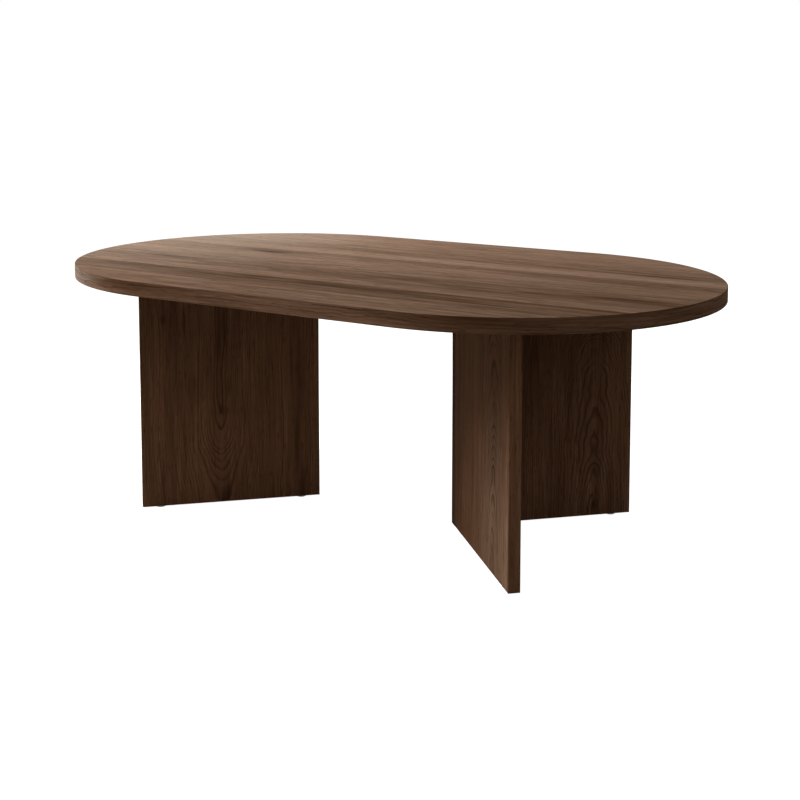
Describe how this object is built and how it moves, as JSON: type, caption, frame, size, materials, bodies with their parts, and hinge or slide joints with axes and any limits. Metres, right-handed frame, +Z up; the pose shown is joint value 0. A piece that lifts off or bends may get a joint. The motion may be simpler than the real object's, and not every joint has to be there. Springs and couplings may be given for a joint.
{
  "type": "oval coffee table",
  "caption": "Low coffee table: racetrack-shaped walnut-veneered board top with an edge band, on V-shaped board legs joined by cam fittings and dowels.",
  "frame": {"origin": "on the floor, under the centre of the top", "axes": "+X along the top's length, +Y across it, +Z up"},
  "size_m": [1.0998, 0.66, 0.402],
  "materials": {
    "walnut_top": "satin walnut veneer, grain along the top",
    "walnut_top_band": "satin walnut edge band, grain along the edge",
    "walnut_leg": "satin dark walnut veneer, upright grain",
    "walnut_leg_band": "satin dark walnut edge band",
    "zinc_cam": "die-cast zinc",
    "steel_bolt": "zinc-plated steel",
    "nylon_sleeve": "natural nylon",
    "beech_dowel": "raw fluted beech",
    "brown_cap": "moulded brown plastic",
    "glide_plastic": "moulded natural polyethylene",
    "steel_nail": "bright steel wire"
  },
  "bodies": {
    "root": {"top_board": "walnut_top", "top_edge_band": "walnut_top_band", "left_through_board": "walnut_leg", "left_butt_board": "walnut_leg", "left_through_outer_band": "walnut_leg_band", "left_through_corner_band": "walnut_leg_band", "left_through_foot_band": "walnut_leg_band", "left_butt_outer_band": "walnut_leg_band", "left_butt_foot_band": "walnut_leg_band", "left_top_cam_discs": "zinc_cam", "left_corner_cam_discs": "zinc_cam", "left_top_cam_bolts": "steel_bolt", "left_corner_cam_bolts": "steel_bolt", "left_top_bolt_sleeves": "nylon_sleeve", "left_corner_bolt_sleeves": "nylon_sleeve", "left_top_dowels": "beech_dowel", "left_corner_dowels": "beech_dowel", "left_cam_caps": "brown_cap", "left_glide_pads": "glide_plastic", "left_glide_nails": "steel_nail", "right_through_board": "walnut_leg", "right_butt_board": "walnut_leg", "right_through_outer_band": "walnut_leg_band", "right_through_corner_band": "walnut_leg_band", "right_through_foot_band": "walnut_leg_band", "right_butt_outer_band": "walnut_leg_band", "right_butt_foot_band": "walnut_leg_band", "right_top_cam_discs": "zinc_cam", "right_corner_cam_discs": "zinc_cam", "right_top_cam_bolts": "steel_bolt", "right_corner_cam_bolts": "steel_bolt", "right_top_bolt_sleeves": "nylon_sleeve", "right_corner_bolt_sleeves": "nylon_sleeve", "right_top_dowels": "beech_dowel", "right_corner_dowels": "beech_dowel", "right_cam_caps": "brown_cap", "right_glide_pads": "glide_plastic", "right_glide_nails": "steel_nail"}
  },
  "joints": []
}
